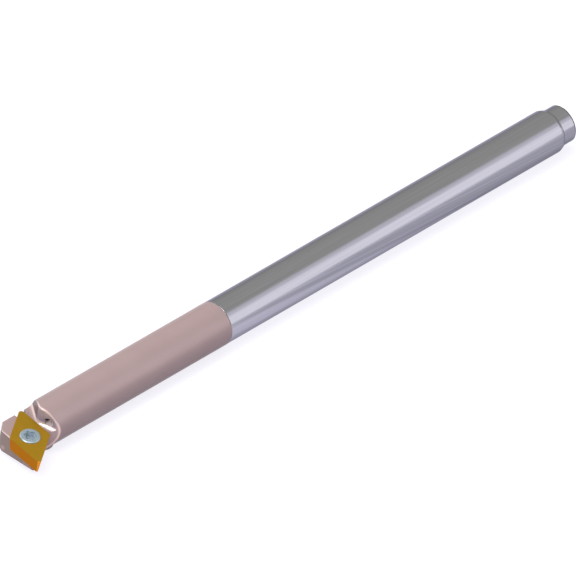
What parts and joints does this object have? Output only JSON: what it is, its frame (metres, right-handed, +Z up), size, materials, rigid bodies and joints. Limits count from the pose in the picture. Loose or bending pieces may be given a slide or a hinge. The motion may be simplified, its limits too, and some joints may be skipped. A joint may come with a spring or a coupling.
{
  "type": "indexable boring bar",
  "caption": "Round boring bar with a brazed milled head, a diamond cutting insert held by a countersunk screw, a chip gullet and a coolant bore that opens beside the insert.",
  "frame": {"origin": "on the bar's axis, in the plane where the head is brazed to the shank", "axes": "+X along the bar to its rear end, +Z up, the side the insert's rake face looks to, -Y the side the cutting corner reaches out to"},
  "size_m": [0.2, 0.0175, 0.012],
  "materials": {
    "ground_carbide": "fine ground, bright grey",
    "treated_steel": "satin rose-grey surface treatment",
    "gold_coating": "thin gold-coloured coating on sintered carbide",
    "screw_steel": "plain blue-grey steel"
  },
  "bodies": {
    "root": {"shank": "ground_carbide", "head": "treated_steel", "insert": "gold_coating", "clamp_screw": "screw_steel"}
  },
  "joints": []
}
